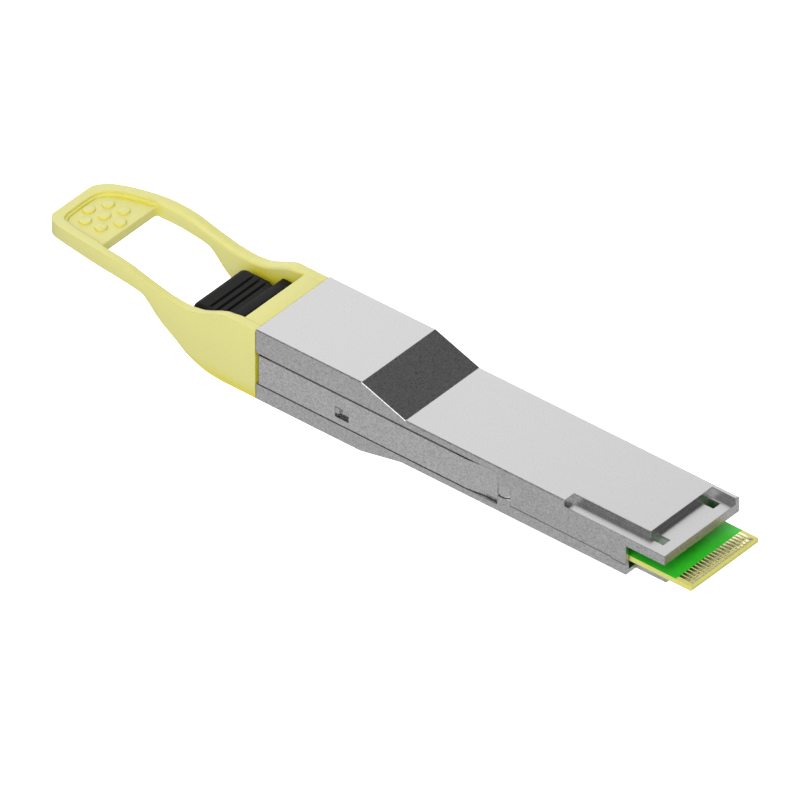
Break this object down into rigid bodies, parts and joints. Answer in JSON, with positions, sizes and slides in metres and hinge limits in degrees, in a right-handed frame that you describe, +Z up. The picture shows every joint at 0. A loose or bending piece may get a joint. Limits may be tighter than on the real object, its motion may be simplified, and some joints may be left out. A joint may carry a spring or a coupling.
{
  "type": "optical transceiver module",
  "caption": "Pluggable optical transceiver module with cast metal shells, gold card edge, side latch slider, yellow pull tab loop and a dust plug in the fibre port.",
  "frame": {"origin": "middle of the flat underside that rides on the cage floor, on the module's centre plane", "axes": "+X towards the host connector (card edge), -X towards the pull tab; +Y across the module; +Z up, towards the heat sink face"},
  "size_m": [0.1338, 0.0184, 0.0135],
  "materials": {
    "cast_shell": "satin cast",
    "screw_steel": "plain",
    "port_plastic": "moulded",
    "ferrule_plastic": "moulded",
    "pin_steel": "ground",
    "ribbon_coating": "coated",
    "array_glass": "polished",
    "board": "solder mask over laminate",
    "gold_contact": "plated",
    "chip_package": "moulded",
    "thermal_pad": "soft",
    "coil_ferrite": "sintered",
    "capacitor_ceramic": "fired",
    "gasket_rubber": "foam",
    "spring_steel": "drawn wire",
    "slider_steel": "stamped",
    "tab_plastic": "moulded",
    "plug_rubber": "moulded"
  },
  "bodies": {
    "housing": {"top_shell": "cast_shell", "bottom_shell": "cast_shell", "case_screws": "screw_steel", "optical_receptacle": "port_plastic", "connector_hooks": "port_plastic", "ferrule": "ferrule_plastic", "guide_pins": "pin_steel", "pin_clamp": "screw_steel", "fibre_ribbon": "ribbon_coating", "fibre_array_block": "array_glass", "circuit_board": "board", "top_contacts": "gold_contact", "bottom_contacts": "gold_contact", "optical_engine": "chip_package", "engine_thermal_pad": "thermal_pad", "laser_modules": "gold_contact", "signal_processor": "chip_package", "processor_thermal_pad": "thermal_pad", "microcontroller": "chip_package", "power_regulator": "chip_package", "power_inductors": "coil_ferrite", "capacitors": "capacitor_ceramic", "clock_crystal": "screw_steel", "emi_gasket": "gasket_rubber", "left_return_spring": "spring_steel", "right_return_spring": "spring_steel"},
    "latch": {"latch_slider": "slider_steel", "pull_tab": "tab_plastic"},
    "plug": {"dust_plug": "plug_rubber"}
  },
  "joints": [
    {"name": "latch_slide", "type": "slide", "parent": "housing", "child": "latch", "axis": [-1, 0, 0], "range_m": [0, 0.0018], "stiffness_N_per_m": 1600, "springref_m": -0.002, "deforming": ["left_return_spring", "right_return_spring"]},
    {"name": "plug_pull", "type": "slide", "parent": "housing", "child": "plug", "axis": [-1, 0, 0], "range_m": [0, 0.008]}
  ]
}
